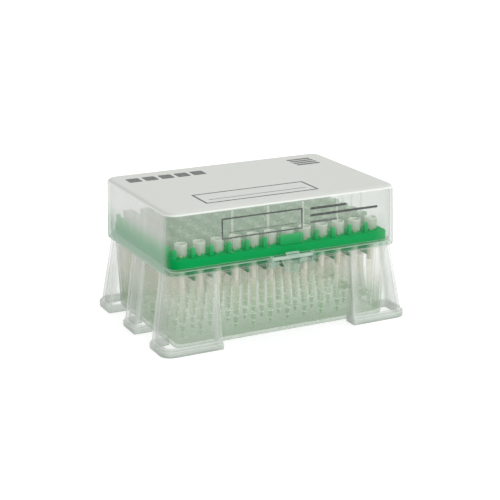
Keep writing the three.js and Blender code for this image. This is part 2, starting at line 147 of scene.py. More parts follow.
# ---- surfaces ----
class Moulding:
    """Points and faces gathered from several surfaces, which become one mesh."""

    def __init__(self):
        self.points, self.faces, self.thick_and_highlight, self.count = [], [], [], 0

    def add(self, points, faces, thick_and_highlight):
        """Adds a surface. Its mark is 0 for a plain wall and 1 where an edge shows more plastic
        and takes a painted highlight.
        """
        points = np.asarray(points, float).reshape(-1, 3)
        self.points.append(points)
        self.thick_and_highlight.append(np.broadcast_to(np.asarray(thick_and_highlight, float).ravel(), (len(points),)))
        self.faces += (np.asarray(faces) + self.count).tolist()
        self.count += len(points)

    def grid(self, rings, thick_and_highlight=0.0, wrap=False):
        """Adds quads between rings that close on themselves, given as an array of rings, points
        and 3. wrap joins the last ring to the first."""
        rows, columns = rings.shape[:2]
        r, c = np.meshgrid(np.arange(rows - (not wrap)), np.arange(columns), indexing="ij")
        r2, c2 = (r + 1) % rows, (c + 1) % columns
        corners = (r * columns + c, r * columns + c2, r2 * columns + c2, r2 * columns + c)
        if np.ndim(thick_and_highlight) == 1:
            thick_and_highlight = np.repeat(thick_and_highlight, columns)
        self.add(rings, np.stack(corners, -1).reshape(-1, 4), thick_and_highlight)

    def tube(self, rings, first, last, thick_and_highlight=0.0):
        """Adds rings, with triangles from the first and from the last of them to a point."""
        thick_and_highlight = np.broadcast_to(np.asarray(thick_and_highlight, float), (len(rings),))
        self.grid(rings, thick_and_highlight)
        i = np.arange(rings.shape[1])
        faces = np.stack((i, np.roll(i, -1), np.full(len(i), len(i))), -1)
        for end, point in ((0, first), (-1, last)):
            self.add(np.vstack((rings[end], [point])), faces, thick_and_highlight[end])

    def solid(self, rings, thick_and_highlight):
        """Adds rings, with one many-sided face on the first and one on the last of them."""
        self.grid(rings, thick_and_highlight)
        for end in (0, -1):
            self.add(rings[end], [np.arange(rings.shape[1])], thick_and_highlight[end])

    def piece(self, name, look, body, slot, nodes=(), crease=40):
        """Merges what coincides, turns the faces outwards and makes the object."""
        mesh = bpy.data.meshes.new(name)
        mesh.from_pydata((np.vstack(self.points) * MM).tolist(), [], self.faces)
        thick_and_highlight = mesh.attributes.new("thick_and_highlight", "FLOAT", "POINT")
        thick_and_highlight.data.foreach_set("value", np.concatenate(self.thick_and_highlight).astype(np.float32))
        bm = bmesh.new()
        bm.from_mesh(mesh)
        bmesh.ops.remove_doubles(bm, verts=bm.verts, dist=2e-6)
        bmesh.ops.recalc_face_normals(bm, faces=bm.faces)
        bm.to_mesh(mesh)
        bm.free()
        mesh.polygons.foreach_set("use_smooth", np.ones(len(mesh.polygons), bool))
        mesh.set_sharp_from_angle(angle=math.radians(crease))
        mesh.materials.append(look)
        obj = linked(name, mesh)
        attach(obj, body)
        if nodes:
            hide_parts(*nodes)
        return obj


def let_light_through(*pieces, shadow=False):
    """Light that other surfaces give off passes these pieces, and so does the lamps' light
    unless the pieces keep their shadow."""
    for piece in pieces:
        piece.visible_diffuse = False
        piece.visible_shadow = shadow


def arc(centre, radius, angles):
    """Points of a circle about a centre, at the angles given."""
    return np.stack((centre[0] + radius * np.cos(angles), centre[1] + radius * np.sin(angles)), -1)


def rounded(corners, radii, steps):
    """A closed polyline whose corners become arcs: each arc leaves and meets its two sides at
    the distance radius / tan(half the angle between them)."""
    corners = np.asarray(corners, float)
    n = len(corners)
    out = []
    for i, radius in enumerate(np.broadcast_to(radii, (n,))):
        a, b, c = corners[i - 1], corners[i], corners[(i + 1) % n]
        u, v = (a - b) / np.linalg.norm(a - b), (c - b) / np.linalg.norm(c - b)
        half = math.acos(np.clip(u @ v, -1, 1)) / 2
        reach = radius / math.tan(half)
        centre = b + (u + v) / np.linalg.norm(u + v) * radius / math.sin(half)
        start, end = b + u * reach - centre, b + v * reach - centre
        share = np.linspace(0, 1, steps + 1)[:, None]
        gap = math.pi - 2 * half
        bend = (np.sin((1 - share) * gap) * start + np.sin(share * gap) * end) / math.sin(gap)
        out.append(centre + bend)
    return np.vstack(out)


def plan_path(stations_x, stations_y, corner_steps):
    """Plan outline of a rectangle with round corners, anticlockwise from the right end. Each
    point has a pair that scales the straight halves and the outward normal that scales the
    corner radius. Stations are the places along the straight sides, from -1 to 1."""
    scale, normal = [], []
    sx, sy = np.asarray(stations_x, float), np.asarray(stations_y, float)
    for corner, (cx, cy) in enumerate(((1, 1), (-1, 1), (-1, -1), (1, -1))):
        angle = (corner + np.linspace(0, 1, corner_steps + 1)) * QUARTER
        scale.append(np.tile((cx, cy), (len(angle), 1)))
        normal.append(np.stack((np.cos(angle), np.sin(angle)), -1))
        along = (sx[::-1], sy[::-1], sx, sy)[corner]
        across = np.full(len(along), (1, -1, -1, 1)[corner])
        scale.append(np.stack((across, along) if corner % 2 else (along, across), -1))
        normal.append(np.tile(((0, 1), (-1, 0), (0, -1), (1, 0))[corner], (len(along), 1)))
    return np.vstack(scale), np.vstack(normal)


def carried(path, half_x, half_y, radius, z):
    """Rings of a plan path: at each level the scale times the straight half, plus the normal
    times the corner radius. half_x, half_y, radius and z are arrays of one length."""
    scale, normal = path
    hx, hy, r, z = (np.asarray(a, float)[:, None] for a in (half_x, half_y, radius, z))
    x = scale[:, 0] * (hx - r) + normal[:, 0] * r
    y = scale[:, 1] * (hy - r) + normal[:, 1] * r
    return np.stack((x, y, z + 0 * x), -1)


def lathe(radius, z, sides, x, y, flute=0):
    """Rings of a profile of radii and heights turned about the upright line at x, y. flute adds
    to the radius, as an array of one row per profile point and one column per side."""
    angle = np.arange(sides) / sides * TURN
    radius = radius[:, None] + flute
    z = z[:, None] + 0 * angle
    return np.stack((x + radius * np.cos(angle), y + radius * np.sin(angle), z), -1)


def slab(outline, low, high, axis, bevel, border=0.0):
    """A flat outline carried straight along an axis, with its two end edges cut back by bevel
    along the outline's own normals, and with one more ring, a border further in, on each end
    face where a border is given. Returns the rings, from the low end to the high."""
    outline = np.asarray(outline, float)
    following = np.roll(outline, -1, 0)
    ahead = following - outline
    ahead /= np.maximum(np.linalg.norm(ahead, axis=1, keepdims=True), 1e-9)
    mean = ahead + np.roll(ahead, 1, 0)
    mean /= np.maximum(np.linalg.norm(mean, axis=1, keepdims=True), 1e-9)
    area = np.sum(outline[:, 0] * following[:, 1] - outline[:, 1] * following[:, 0])
    inward = np.stack((-mean[:, 1], mean[:, 0]), -1) * np.sign(area)
    levels = [(low, bevel), (low + bevel, 0), (high - bevel, 0), (high, bevel)]
    if border:
        levels = [(low, bevel + border), *levels, (high, bevel + border)]
    across = [a for a in range(3) if a != axis]
    rings = np.empty((len(levels), len(outline), 3))
    for ring, (place, taken) in zip(rings, levels):
        ring[:, axis] = place
        ring[:, across] = outline + inward * taken
    return rings


def add_slab(mould, outline, low, high, axis, bevel, thick_and_highlight, edge=None, border=0.0):
    """Adds a closed slab, with one mark for its faces and one for its edges."""
    rings = slab(outline, low, high, axis, bevel, border)
    edge = thick_and_highlight if edge is None else edge
    marks = (thick_and_highlight, edge, thick_and_highlight, thick_and_highlight, edge, thick_and_highlight) if border else (edge, thick_and_highlight, thick_and_highlight, edge)
    mould.solid(rings, np.array(marks, float))


def add_bar(mould, low, high, radius, axis, thick_and_highlight=0.0, edge=None, bevel=None):
    """Adds a block between two corners with its edges along one axis rounded."""
    a, b = [i for i in range(3) if i != axis]
    corners = [(low[a], low[b]), (high[a], low[b]), (high[a], high[b]), (low[a], high[b])]
    bevel = min(0.15, radius) if bevel is None else bevel
    add_slab(mould, rounded(corners, radius, 2), low[axis], high[axis], axis, bevel, thick_and_highlight, edge)


def add_rod(mould, centre, radius, low, high, bevel, thick_and_highlight, edge=None, sides=20):
    """Adds a round bar along x, with its centre given in y and z."""
    outline = arc(centre, radius, np.arange(sides) / sides * TURN)
    add_slab(mould, outline, low, high, 0, bevel, thick_and_highlight, edge)


def stations(straight, limit, count, *gaps):
    """Places along a straight half: even ones from -limit to limit, and a close pair round both
    ends of each gap, which is a middle, a half width and the reach of its pairs."""
    cuts = [
        (middle + end) / straight + pair
        for middle, half, reach in gaps for end in (-half, half) for pair in (-reach, reach)
    ]
    return np.sort(np.concatenate((np.linspace(-limit, limit, count), cuts)))


# ---- materials ----
def linear(red, green, blue):
    """A colour given in 0 to 255 as it shows, turned into light."""
    parts = [c / 255 for c in (red, green, blue)]
    parts = [c / 12.92 if c <= 0.04045 else ((c + 0.055) / 1.055) ** 2.4 for c in parts]
    return (*parts, 1.0)


class Value:
    """A number in a material. Python's operators add Math nodes."""

    def __init__(self, look, socket):
        self.look, self.socket = look, socket

    def math(self, operation, other, clamp=False):
        """The result of a Math node on this number and another."""
        settings = {"operation": operation, "use_clamp": clamp}
        return self.look.value("Math", settings, {0: self, 1: other})

    def __add__(self, other):
        return self.math("ADD", other)

    def __mul__(self, other):
        return self.math("MULTIPLY", other)

    def __pow__(self, other):
        return self.math("POWER", other)

    __radd__, __rmul__ = __add__, __mul__

    def between(self, low, high):
        """0 below low and 1 above high, smooth in between."""
        settings = {"interpolation_type": "SMOOTHSTEP"}
        sockets = {"Value": self, "From Min": low, "From Max": high}
        return self.look.value("MapRange", settings, sockets)


class Look:
    """A material or world being written: its nodes come from one method."""

    def __init__(self, owner):
        owner.use_nodes = True
        self.owner, self.tree = owner, owner.node_tree
        self.tree.nodes.clear()

    def node(self, kind, settings=None, sockets=None):
        """A node of that kind with its settings, then the values or links of its sockets."""
        node = self.tree.nodes.new("ShaderNode" + kind)
        for key, value in (settings or {}).items():
            setattr(node, key, value)
        for key, value in (sockets or {}).items():
            if isinstance(value, Value):
                value = value.socket
            if isinstance(value, bpy.types.NodeSocket):
                self.tree.links.new(value, node.inputs[key])
            else:
                node.inputs[key].default_value = value
        return node

    def value(self, kind, settings=None, sockets=None, output=0):
        """The number that such a node gives."""
        return Value(self, self.node(kind, settings, sockets).outputs[output])

    @cached_property
    def coordinates(self):
        """Object coordinates, from one node that the patterns share."""
        return self.node("TexCoord").outputs["Object"]

    def along(self, axis):
        """The place along one axis of the part's frame, in millimetres."""
        return self.value("SeparateXYZ", None, {0: self.coordinates}, axis) * (1 / MM)

    def noise(self, scale, detail=2.0, roughness=0.5, stretch=(1, 1, 1)):
        """Noise from 0 to 1 on Object coordinates; stretch scales each axis of the pattern."""
        sockets = {"Vector": self.coordinates, "Scale": stretch}
        placed = self.node("Mapping", None, sockets).outputs[0]
        sockets = {"Vector": placed, "Scale": scale, "Detail": detail, "Roughness": roughness}
        return self.value("TexNoise", None, sockets)

    def facing(self):
        """0 where the surface is seen square on, 1 where it is seen edge on."""
        return self.value("LayerWeight", None, {"Blend": 0.5}, "Facing")

    def thick_and_highlight(self):
        """The mesh's own mark of where an edge shows more plastic and takes a painted highlight."""
        return self.value("Attribute", {"attribute_name": "thick_and_highlight"}, None, "Fac")

    def shown(self):
        """1 for the rays that show this directly, in a gloss or through glass, 0 for the rest."""
        path = self.node("LightPath").outputs
        seen = Value(self, path["Is Camera Ray"]).math("MAXIMUM", path["Is Glossy Ray"])
        return seen.math("MAXIMUM", path["Is Transmission Ray"])

    def mix(self, share, *colours):
        """A colour between two, by share. Each is a link, or is given in 0 to 255."""
        first, second = (linear(*c) if isinstance(c, tuple) else c for c in colours)
        sockets = {0: share, 6: first, 7: second}
        return self.node("Mix", {"data_type": "RGBA"}, sockets).outputs[2]

    def bump(self, height, distance):
        """A normal tilted by a height, whose full range stands for a distance in metres."""
        sockets = {"Height": height, "Distance": distance, "Strength": 1.0}
        return self.node("Bump", None, sockets).outputs["Normal"]

    def finish(self, **sockets):
        """The surface itself."""
        named = {key.replace("_", " "): value for key, value in sockets.items()}
        surface = self.node("BsdfPrincipled", None, named)
        self.node("OutputMaterial", None, {0: surface.outputs[0]})
        return self.owner


def new_look(name):
    """A new material to be written."""
    return Look(bpy.data.materials.new(name))


def clear_plastic(name, colour, glassy, veil, edge_veil, edge_power, thick_veil, roughness,
                  grain, gloss=0.5, zones=()):
    """Translucent moulded plastic. Square on it holds back a little light, its veil, and takes the
    glassy colour. Towards grazing views the edge veil comes in, by a power, and the pale
    colour. Where the mesh is marked it is denser and whiter: more plastic, and a painted
    highlight. Each zone is two heights, or two places along another axis that it names, between
    which a new colour and some more veil come in."""
    look = new_look(name)
    flow = look.noise(60, 3.0, 0.6, (1, 1, 0.25))
    fine = look.noise(1400, 2.0)
    facing, thick_and_highlight = look.facing(), look.thick_and_highlight()
    places = {axis: look.along(axis) for axis in "XYZ"}
    veil_here = facing ** edge_power * edge_veil + (flow * 0.5 + 0.75) * veil
    veil_here = veil_here + thick_and_highlight * thick_veil
    pale = look.mix(flow * 0.3, colour, (196, 199, 193))
    tinted = look.mix(facing.between(0.1, 0.6), glassy, pale)
    for low, high, zone_colour, zone_veil, *axis in zones:
        share = places[axis[0] if axis else "Z"].between(low, high)
        tinted = look.mix(share, tinted, zone_colour)
        veil_here = veil_here + share * zone_veil
    # Whiter where marked: partly more plastic, partly a painted highlight on edges, rings and rims.
    white_and_highlight = thick_and_highlight.math("MULTIPLY", 0.8, clamp=True)
    return look.finish(
        Base_Color=look.mix(white_and_highlight, tinted, (240, 246, 240)),
        Roughness=fine * 0.16 + (roughness - 0.08),
        IOR=1.49,
        Specular_IOR_Level=gloss,
        Alpha=veil_here.math("MINIMUM", 1.0),
        Normal=look.bump(fine + flow * 0.6, grain * MM),
    )


def tip_look(name, collar, collar_veil):
    """A tip's plastic: greenish towards the end, which is painted green light from the deck,
    pale by the filter, and a colour of its own on the collar, a painted shade for the rows behind.
    """
    # The green of the lower part is painted green light from the deck; higher zones turn pale.
    return clear_plastic(
        name, (126, 172, 116), (116, 172, 106), veil=0.08, edge_veil=0.16,
        edge_power=1.6, thick_veil=0.6, roughness=0.26, grain=0.008,
        zones=[
            (10, 22, (198, 203, 176), 0.04), (22, 28, (212, 212, 193), 0.12),
            (COLLAR_Z - 0.2, COLLAR_Z + 0.2, collar, collar_veil),
        ],
    )


# The lid's green tint is painted green light from the deck behind it.
lid_plastic = clear_plastic(
    "frosted_lid_plastic", (172, 203, 182), (0, 50, 24), veil=0.07, edge_veil=1.12,
    edge_power=2.3, thick_veil=0.5, roughness=0.42, grain=0.006, gloss=0.15,
    zones=[
        # Paler upwards from the band; grey towards the right end, past the deck, where the painted
        # green light stops.
        (43.5, 55.0, (237, 238, 233), 0.02), (46.0, 58.0, (192, 196, 190), 0.0, "X"),
        (63.9, 64.3, (207, 209, 204), 0.75),
    ],
)
# The base's green, stronger and darker towards the floor, is painted green light from the deck and
# painted shade.
base_plastic = clear_plastic(
    "clear_base_plastic", (132, 172, 120), (60, 132, 52), veil=0.13, edge_veil=0.5,
    edge_power=2.2, thick_veil=0.5, roughness=0.28, grain=0.01,
    zones=[
        # Paler from 8 to 24 mm up; denser and grey-green at the back wall, a painted shade behind
        # the tips.
        (8, 24, (222, 224, 208), -0.09), (33.0, 36.0, (182, 190, 168), 0.42, "Y"),
        # Green at the rim's lower edge and along its top: painted green light from the deck in the
        # rim.
        (RIM_LOW - 0.2, RIM_LOW + 0.2, (70, 180, 118), 0.16),
        (BASE_TOP - 0.8, BASE_TOP, (0, 142, 76), 0.25),
    ],
)
leg_plastic = clear_plastic(
    "milky_leg_plastic", (170, 182, 169), (158, 173, 157), veil=0.38, edge_veil=0.5,
    edge_power=1.9, thick_veil=0.45, roughness=0.3, grain=0.01,
    zones=[(3.4, 4.2, (192, 200, 190), -0.3), (15.0, 30.0, (216, 221, 213), -0.03)],
)
latch_plastic = clear_plastic(
    "clear_latch_plastic", (190, 226, 206), (120, 176, 146), veil=0.1,
    edge_veil=0.4, edge_power=1.6, thick_veil=0.6, roughness=0.18, grain=0.01,
)
tip_plastic = tip_look("tip_plastic", (176, 184, 168), 0.12)
# The rows behind the front one take a darker, greener copy with more veil on the collar: painted
# shade and green light under the lid.
shaded_inner_tip_plastic = tip_look("shaded_inner_tip_plastic", (134, 154, 132), 0.24)


def green_plastic():
    """Opaque green moulding: fine grain, slight flow marks, paler above the plate, and a painted
    shade that darkens it below the band."""
    look = new_look("green_deck_plastic")
    flow = look.noise(90, 3.0, 0.6)
    fine = look.noise(1800, 2.0)
    height = look.along("Z")
    above = height.between(PLATE_TOP - 0.2, PLATE_TOP + 0.1)
    colour = look.mix(flow, (0, 156, 76), (0, 168, 88))
    colour = look.mix(above * 0.15, colour, (60, 180, 118))
    # Painted shade: darker below the band, on the ribs under the plate.
    colour = look.mix(height.between(BAND_LOW - 0.9, BAND_LOW - 0.3), (0, 116, 64), colour)
    return look.finish(
        Base_Color=colour,
        Roughness=fine * 0.2 + 0.34,
        IOR=1.49,
        Specular_IOR_Level=0.03,
        Normal=look.bump(fine + flow, 0.02 * MM),
    )


def filter_foam():
    """White sintered filter: rough, with open pores."""
    look = new_look("white_filter_foam")
    pores = look.noise(2600, 3.0, 0.7)
    colour = look.mix(pores.between(0.35, 0.65), (186, 190, 171), (200, 202, 185))
    return look.finish(
        Base_Color=colour, Roughness=pores * 0.1 + 0.85, Normal=look.bump(pores, 0.1 * MM)
    )


def print_ink():
    """Dark grey print, a little thin in places."""
    look = new_look("grey_print")
    worn = look.noise(900, 3.0, 0.6).between(0.35, 0.6)
    colour = look.mix(worn, (84, 88, 84), (52, 56, 54))
    return look.finish(Base_Color=colour, Roughness=worn * 0.1 + 0.45)


green = green_plastic()
foam = filter_foam()
ink = print_ink()


# ---- tips ----
TIP_SIDES, FILTER_SIDES = 20, 12
STEP_Z = TIP_END + 6.1
RING_Z = TIP_END + 2.4
FILTER_TOP = TIP_TOP - 13.1
FILTER_LOW = FILTER_TOP - 8
FLUTES, FLUTE_DEPTH = 10, 0.04
# The collar's marks are thickness and painted highlight; the rows behind keep only this share.
INNER_COLLAR_MARK = 0.15  # share of the collar's thickness marks that the inner rows keep


def tip_profile():
    """Half section of a tip as radius, height and mark of thickness and painted highlight: up the
    outside from the end, over the mouth and down the bore. The two rings, the step and the mouth
    take painted highlights."""
    return np.array([
        (0.42, TIP_END, 0.6), (0.55, TIP_END + 0.15, 0.6),
        (0.80, RING_Z - 0.3, 0.1), (1.04, RING_Z - 0.15, 1.0),
        (1.04, RING_Z + 0.3, 1.0), (0.94, RING_Z + 0.45, 0.1),
        (1.12, STEP_Z - 0.5, 0.1), (1.42, STEP_Z - 0.25, 1.0),
        (1.48, STEP_Z + 0.25, 1.0), (1.38, STEP_Z + 0.5, 0.0),
        (1.85, STEP_Z + 17, 0.0), (2.32, COLLAR_Z - 1.0, 0.0),
        (2.36, COLLAR_Z + 0.02, 0.4), (2.78, COLLAR_Z + 0.04, 0.4),
        (2.95, COLLAR_Z + 0.3, 0.25), (2.96, TIP_TOP - 1.3, 0.2),
        (2.99, TIP_TOP - 0.5, 0.3), (2.90, TIP_TOP - 0.06, 0.5),
        (2.66, TIP_TOP, 0.5), (2.48, TIP_TOP - 0.2, 0.2), (2.36, TIP_TOP - 1.2, 0.1),
        (1.66, FILTER_TOP, 0.0), (1.40, FILTER_LOW, 0.0),
        (1.02, STEP_Z + 0.6, 0.0), (0.30, TIP_END + 0.1, 0.4),
    ])


def tip_row(row):
    """Twelve tips of one row: the half section turned about each column's axis. The collar has
    shallow flutes, a cosine of the angle."""
    radius, z, marks = tip_profile().T
    angle = np.arange(TIP_SIDES) / TIP_SIDES * TURN
    on_collar = ((z > COLLAR_Z + 0.2) & (radius > 2.9))[:, None]
    flute = FLUTE_DEPTH * np.cos(FLUTES * angle) * on_collar
    if row > 0:
        marks = np.where(z > COLLAR_Z, marks * INNER_COLLAR_MARK, marks)
    mould = Moulding()
    for column in range(COLUMNS):
        rings = lathe(radius, z, TIP_SIDES, column_x(column), row_y(row), flute)
        mould.grid(rings, marks, wrap=True)
    return mould


def filter_row(row):
    """Twelve filter plugs of one row: a short cone with soft edges, closed at both ends."""
    radius = np.array((1.20, 1.36, 1.60, 1.45))
    z = np.array((FILTER_LOW + 0.05, FILTER_LOW + 0.25, FILTER_TOP - 0.3, FILTER_TOP - 0.05))
    mould = Moulding()
    for column in range(COLUMNS):
        x, y = column_x(column), row_y(row)
        rings = lathe(radius, z, FILTER_SIDES, x, y)
        mould.tube(rings, (x, y, FILTER_LOW + 0.02), (x, y, FILTER_TOP))
    return mould


for row, letter in enumerate(LOOSE_ROWS + FUSED_ROWS):
    names = [f"tip_{letter}{c + 1:02d}" for c in range(COLUMNS)] if letter in LOOSE_ROWS else []
    # Rows behind the front one take the copy with painted shade.
    look = shaded_inner_tip_plastic if row > 0 else tip_plastic
    tips = tip_row(row).piece(f"tips_row_{letter}", look, "box", "tip_plastic", names, 50)
    plugs = filter_row(row).piece(f"filters_row_{letter}", foam, "box", "tip_plastic", [], 50)
    let_light_through(tips, plugs)


# ---- rack deck ----
HOLE, BOSS = 2.7, 3.4  # radii
TEETH, TOOTH, NOTCH = 8, 1.1, 0.35  # number of teeth on a boss, their height, the dip between
CELL_STEPS = 8  # points along each side of a cell
POST_X, POST_Y = 1.0, 1.1  # half sizes of a post
POST_TOP = BOSS_TOP + 4.1
POST_INSET_X, POST_INSET_Y = 0.7, 2.1  # from the deck's edge to a post
PANEL_INSET, PANEL_PAST, PANEL_WALL = 1.5, 1.6, 1.2
DECK_RIB = 6.2  # how far the ribs hang below the band


def rectangle_ring(half_x, half_y, steps_x, steps_y):
    """Points round a rectangle, evenly spaced along each side, anticlockwise from a corner."""
    tx, ty = (np.arange(n) / n * 2 - 1 for n in (steps_x, steps_y))
    one_x, one_y = np.ones(steps_x), np.ones(steps_y)
    sides = ((one_y, ty), (-tx, one_x), (-one_y, -ty), (tx, -one_x))
    return np.vstack([np.stack(side, -1) for side in sides]) * (half_x, half_y)


def at_height(ring, z):
    """A flat ring set at one height, or at one height for each point."""
    return np.column_stack((ring, np.broadcast_to(z, (len(ring),))))


def deck_cell(x, y):
    """One cell of the plate: from the square's edge on top, in to the boss, up and over it, down
    through the hole and out to the square's edge underneath. Teeth stand round the boss's top,
    which dips between them."""
    square = rectangle_ring(PITCH / 2, PITCH / 2, CELL_STEPS, CELL_STEPS)
    angle = np.arctan2(square[:, 1], square[:, 0])
    circle = arc((0, 0), 1, angle)
    wave = np.cos(TEETH * angle)
    tooth, notch = TOOTH * (wave > 0.99), NOTCH * (wave < 0)
    rings = [at_height(square, PLATE_TOP)]
    for radius, z, notched, toothed in (
        (BOSS + 0.12, PLATE_TOP, 0, 0), (BOSS, PLATE_TOP + 0.1, 0, 0),
        (BOSS - 0.05, BOSS_TOP - 0.08, 1, 1), (BOSS - 0.18, BOSS_TOP, 1, 1),
        (HOLE + 0.15, BOSS_TOP, 1, 0), (HOLE, BOSS_TOP - 0.15, 1, 0),
        (HOLE, PLATE_UNDER + 0.1, 0, 0), (HOLE + 0.12, PLATE_UNDER, 0, 0),
    ):
        rings.append(at_height(circle * radius, z - notched * notch + toothed * tooth))
    return np.stack([*rings, at_height(square, PLATE_UNDER)]) + (x, y, 0)


def band_ring(inset, radius):
    """The deck's outline taken in by inset, with one point for each point of the cells' outline,
    spaced evenly from the middle of each side to the middle of each corner."""
    half_x, half_y = DECK_X - inset, DECK_Y - inset
    parts = []
    for side in range(4):
        cells, long, short = ((ROWS, half_y, half_x), (COLUMNS, half_x, half_y))[side % 2]
        n = cells * CELL_STEPS
        t = np.arange(n) / n * 2 - 1
        straight = long - radius
        along = np.abs(t) * (straight + radius * math.pi / 4)
        bend = np.clip((along - straight) / radius, 0, math.pi / 4)
        a = (np.minimum(along, straight) + radius * np.sin(bend)) * np.sign(t)
        b = short - radius + radius * np.cos(bend)
        parts.append(((b, a), (-a, b), (-b, -a), (a, -b))[side])
    return np.vstack([np.stack(part, -1) for part in parts])


def deck_edge():
    """The plate's margin and its outer band: from the cells' outline on top, out over the round
    edge, down the band's face, round its foot, up its inner face and back in underneath."""
    inner = rectangle_ring(
        COLUMNS * PITCH / 2, ROWS * PITCH / 2, COLUMNS * CELL_STEPS, ROWS * CELL_STEPS
    )
    levels = [  # inset, corner radius, z
        (0.9, 3.2, PLATE_TOP), (0.35, 3.7, PLATE_TOP), (0.1, 3.9, PLATE_TOP - 0.12),
        (0.0, 4.0, PLATE_TOP - 0.4), (0.0, 4.0, BAND_LOW + 0.25), (0.2, 3.8, BAND_LOW),
        (1.6, 2.4, BAND_LOW), (1.8, 2.2, BAND_LOW + 0.2), (1.8, 2.2, PLATE_UNDER),
    ]
    rings = [at_height(band_ring(inset, radius), z) for inset, radius, z in levels]
    return np.stack([at_height(inner, PLATE_TOP), *rings, at_height(inner, PLATE_UNDER)])


def deck():
    """The plate with its 96 cells, and its edge."""
    mould = Moulding()
    for column in range(COLUMNS):
        for row in range(ROWS):
            mould.grid(deck_cell(column_x(column), row_y(row)))
    mould.grid(deck_edge())
    return mould


def add_post(mould, x, y):
    """A square post with round upright edges and a domed top."""
    path = plan_path((-0.5, 0.5), (-0.5, 0.5), 3)
    z = np.array((PLATE_TOP - 0.3, PLATE_TOP + 0.3, *(POST_TOP - np.array((0.7, 0.3, 0.08, 0)))))
    taken = np.array((-0.1, 0.0, 0.06, 0.14, 0.34, 0.62))
    rings = carried(path, POST_X - taken, POST_Y - taken, np.maximum(0.45 - taken * 0.5, 0.12), z)
    mould.tube(rings + (x, y, 0), (x, y, z[0]), (x, y, POST_TOP))


def deck_details():
    """Posts between the tips all round, the raised panel and the ribs under the plate."""
    mould = Moulding()
    for side in (-1, 1):
        for index in range(COLUMNS):
            add_post(mould, (index - COLUMNS / 2) * PITCH, side * (DECK_Y - POST_INSET_Y - POST_Y))
        for index in range(1, ROWS):
            add_post(mould, side * (DECK_X - POST_INSET_X - POST_X), (index - ROWS / 2) * PITCH)
    panel_y = -DECK_Y + PANEL_INSET
    low = (-PANEL_PAST, panel_y, PLATE_TOP - 0.4)
    high = (PITCH + PANEL_PAST, panel_y + PANEL_WALL, POST_TOP)
    add_bar(mould, low, high, 0.3, 1, bevel=0.25)
    rib_end = WALL_Y - DRAFT * DECK_RIB / RIM_LOW - WALL - 0.35
    for index in range(1, COLUMNS):
        x = (index - COLUMNS / 2) * PITCH
        low, high = (x - 0.5, -rib_end, BAND_LOW - DECK_RIB), (x + 0.5, rib_end, PLATE_UNDER + 0.2)
        add_bar(mould, low, high, 0.2, 1, bevel=0.15)
    return mould


deck().piece("deck_plate", green, "box", "green_plastic", ["rack_deck"])
deck_details().piece("deck_posts_and_ribs", green, "box", "green_plastic")


# ---- base ----
LEG_TOP = RIM_LOW - 0.1
FOOT_TOP, FOOT_EDGE = 3.7, 2.6
LEG_TOP_OUT, LEG_FOOT_OUT = np.array((1.9, 1.0)), np.array((6.6, 4.7))
LEDGE = np.array((1.2, 1.5))
LEG_WALL = 1.2
LEG_RADIUS = 4.5
LEG_ROOT = 0.35  # how far a leg's wall reaches into the base wall
EDGE_TURN = [(1 - math.sin(a), 1 - math.cos(a)) for a in np.linspace(0, QUARTER, 4)]
EDGE_LANES = [2, 3, 4, 5, -6, -5, -4, -3]  # those round a leg's two upright edges
CORNER_LEG_X, CORNER_LEG_Y = 21.8, 11.5
MIDDLE_LEG = 14.6
RIM_CORNER = 4.3
LIP = 0.9  # how much lower the rim reaches between the front legs
FLOOR_MIDDLE = (30, 18)  # half sizes of the ring that closes the floor
SOCKET_GAP, SOCKET_WALL = 0.35, 0.55  # round the latch's bar
CHEEK_NEAR, CHEEK_FAR = 9.8, 11.2  # a cheek's faces, from the middle of the latch
BRACKET_NEAR, BRACKET_FAR = 5.7, 9.9


def wall_half(z):
    """Half sizes of the base wall's outer face at heights z, which lean in downwards."""
    share = (RIM_LOW - np.asarray(z, float)) / (RIM_LOW - FLOOR_LOW) * DRAFT
    return WALL_X - share, WALL_Y - share


